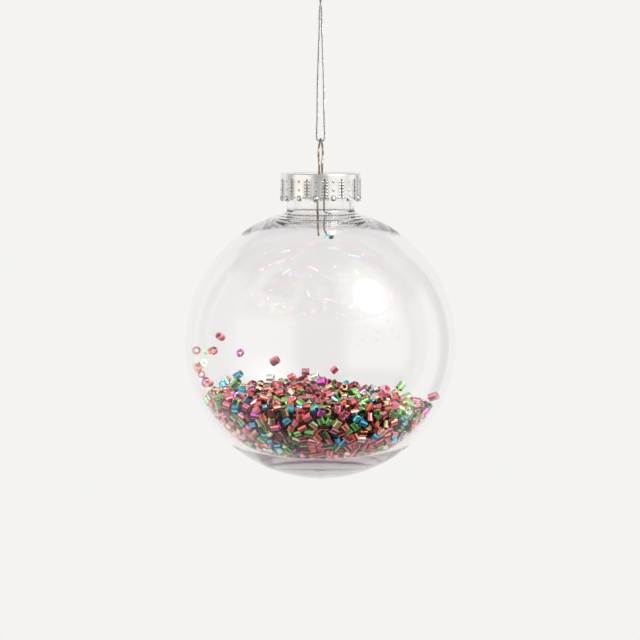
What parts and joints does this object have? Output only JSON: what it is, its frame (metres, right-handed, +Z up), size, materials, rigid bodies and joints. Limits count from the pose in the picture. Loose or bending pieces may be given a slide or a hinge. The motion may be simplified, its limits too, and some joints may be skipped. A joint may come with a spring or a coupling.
{
  "type": "glass ball ornament",
  "caption": "Clear glass ball ornament part-filled with coloured tube beads, with a stamped metal cap, a sprung wire hanger and a twisted cord to hang it by.",
  "frame": {"origin": "the point inside the top of the cord's loop where a hook holds the ornament", "axes": "+Z up along the cord, -Y the front, the ball hangs below the origin on the Z axis"},
  "size_m": [0.08, 0.08, 0.1584],
  "materials": {
    "clear_glass": "clear, polished",
    "cap_metal": "stamped, silver-plated, bright",
    "hanger_wire": "drawn wire, warm tarnish",
    "metallic_cord": "twisted metallic yarn",
    "bead_mix": "packed tube beads of seven colours",
    "bead_rose": "metallic-lined tube bead, glossy",
    "bead_red": "metallic-lined tube bead, glossy",
    "bead_green": "metallic-lined tube bead, glossy",
    "bead_gold": "metallic-lined tube bead, glossy",
    "bead_blue": "metallic-lined tube bead, glossy",
    "bead_magenta": "metallic-lined tube bead, glossy",
    "bead_silver": "metallic-lined tube bead, glossy"
  },
  "bodies": {
    "top_loop": {"cord_top_loop": "metallic_cord", "cord_knot": "metallic_cord"},
    "cord": {"hanging_cord": "metallic_cord"},
    "hanger": {"wire_hanger": "hanger_wire", "wire_bead_blue": "bead_blue", "wire_bead_green": "bead_green"},
    "cap": {"cap": "cap_metal"},
    "ball": {"glass_ball": "clear_glass"},
    "beads": {"bead_heap": "bead_mix", "loose_beads_rose": "bead_rose", "loose_beads_red": "bead_red", "loose_beads_green": "bead_green", "loose_beads_gold": "bead_gold", "loose_beads_blue": "bead_blue", "loose_beads_magenta": "bead_magenta", "loose_beads_silver": "bead_silver"}
  },
  "joints": [
    {"name": "cord_twist", "type": "hinge", "parent": "top_loop", "child": "cord", "pos_m": [0, 0, -0.0146], "axis": [0, 0, 1], "continuous": true},
    {"name": "ornament_swing", "type": "hinge", "parent": "cord", "child": "hanger", "pos_m": [0, 0, -0.0589], "axis": [0.9882, -0.153, 0], "range_deg": [-35, 35]},
    {"name": "cap_lift", "type": "slide", "parent": "hanger", "child": "cap", "axis": [0, 0, 1], "range_m": [0, 0.002]},
    {"name": "ball_release", "type": "slide", "parent": "hanger", "child": "ball", "axis": [0, 0, -1], "range_m": [0, 0.025]},
    {"name": "bead_slosh", "type": "hinge", "parent": "ball", "child": "beads", "pos_m": [0, 0, -0.1175], "axis": [0, 1, 0], "range_deg": [-30, 30]}
  ]
}
